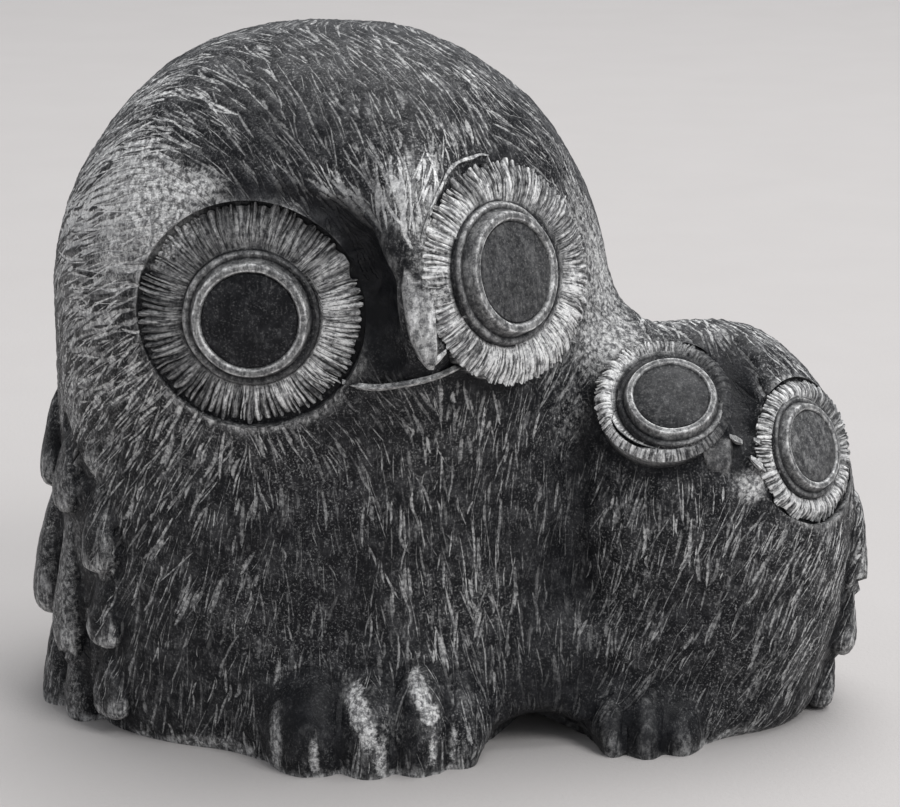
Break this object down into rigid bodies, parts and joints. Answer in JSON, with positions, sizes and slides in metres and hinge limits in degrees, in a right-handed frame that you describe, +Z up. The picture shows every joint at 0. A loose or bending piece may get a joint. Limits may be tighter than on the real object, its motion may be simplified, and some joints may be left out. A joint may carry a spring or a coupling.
{
  "type": "soapstone owl and owlet carving",
  "caption": "Round-headed owl with a small owlet joined at its side, carved as one block of dark soapstone that stands on its flat underside.",
  "frame": {"origin": "middle of the footprint's box, on the flat underside", "axes": "+Z up, -Y the side with the faces and feet, +X along the long side of the block towards the owlet"},
  "size_m": [0.1585, 0.0956, 0.1301],
  "materials": {
    "soapstone": "honed charcoal soapstone with pale scratched feather strokes and dusty hollows"
  },
  "bodies": {
    "root": {"owl_carving": "soapstone"}
  },
  "joints": []
}
